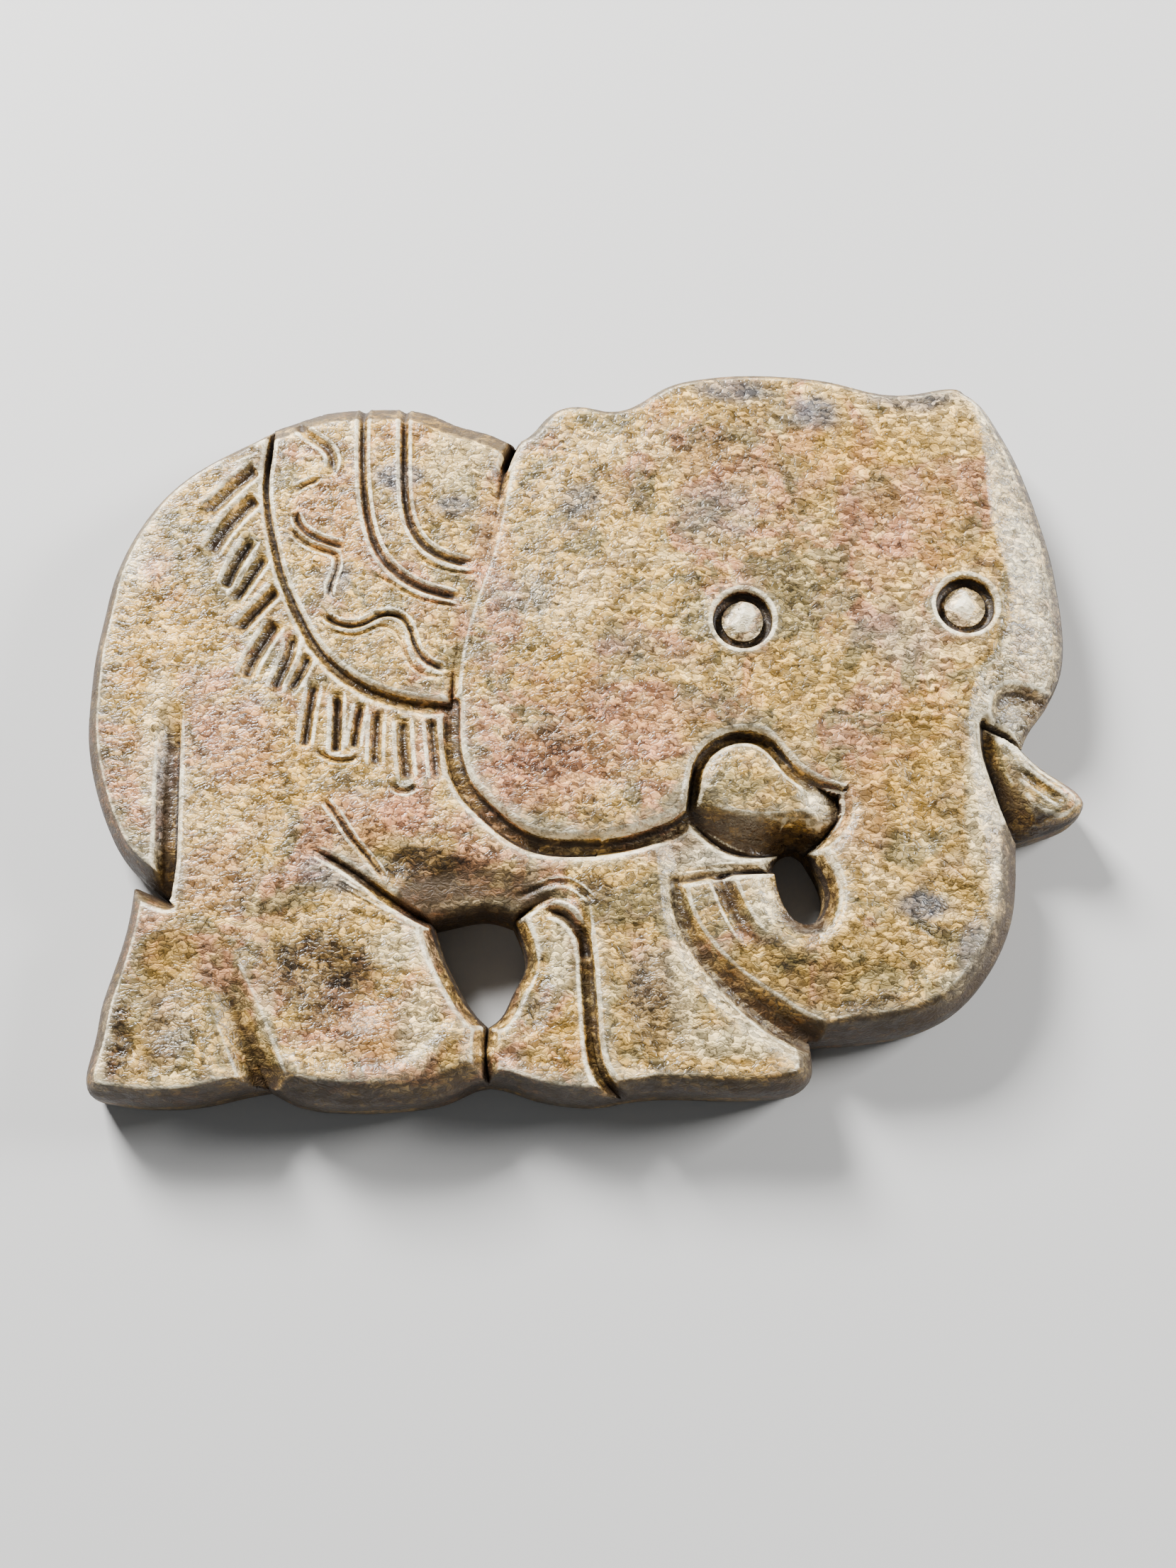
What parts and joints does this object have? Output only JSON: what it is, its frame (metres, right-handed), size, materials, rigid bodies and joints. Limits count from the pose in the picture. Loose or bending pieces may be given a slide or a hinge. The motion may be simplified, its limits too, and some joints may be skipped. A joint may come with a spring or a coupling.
{
  "type": "carved elephant plaque",
  "caption": "Flat palm-size hardstone plaque carved in low relief as a standing elephant, with an engraved saddle cloth, drilled ring eyes and pierced openings.",
  "frame": {"origin": "on the flat back, under the middle of the plaque's bounding box", "axes": "+X from the rump towards the far tusk's tip, +Y from the feet towards the crown, +Z out of the carved face; the plaque lies on its flat back"},
  "size_m": [0.068, 0.0516, 0.007],
  "materials": {
    "jade": "satin, hand-polished, with a brown and gold skin and dark polish in the cuts"
  },
  "bodies": {
    "root": {"body": "jade", "saddle_cloth": "jade", "head": "jade", "trunk": "jade", "near_tusk": "jade", "far_tusk": "jade", "near_fore_leg": "jade", "far_fore_leg": "jade", "near_hind_leg": "jade", "far_hind_leg": "jade", "tail": "jade", "near_eye": "jade", "far_eye": "jade"}
  },
  "joints": []
}
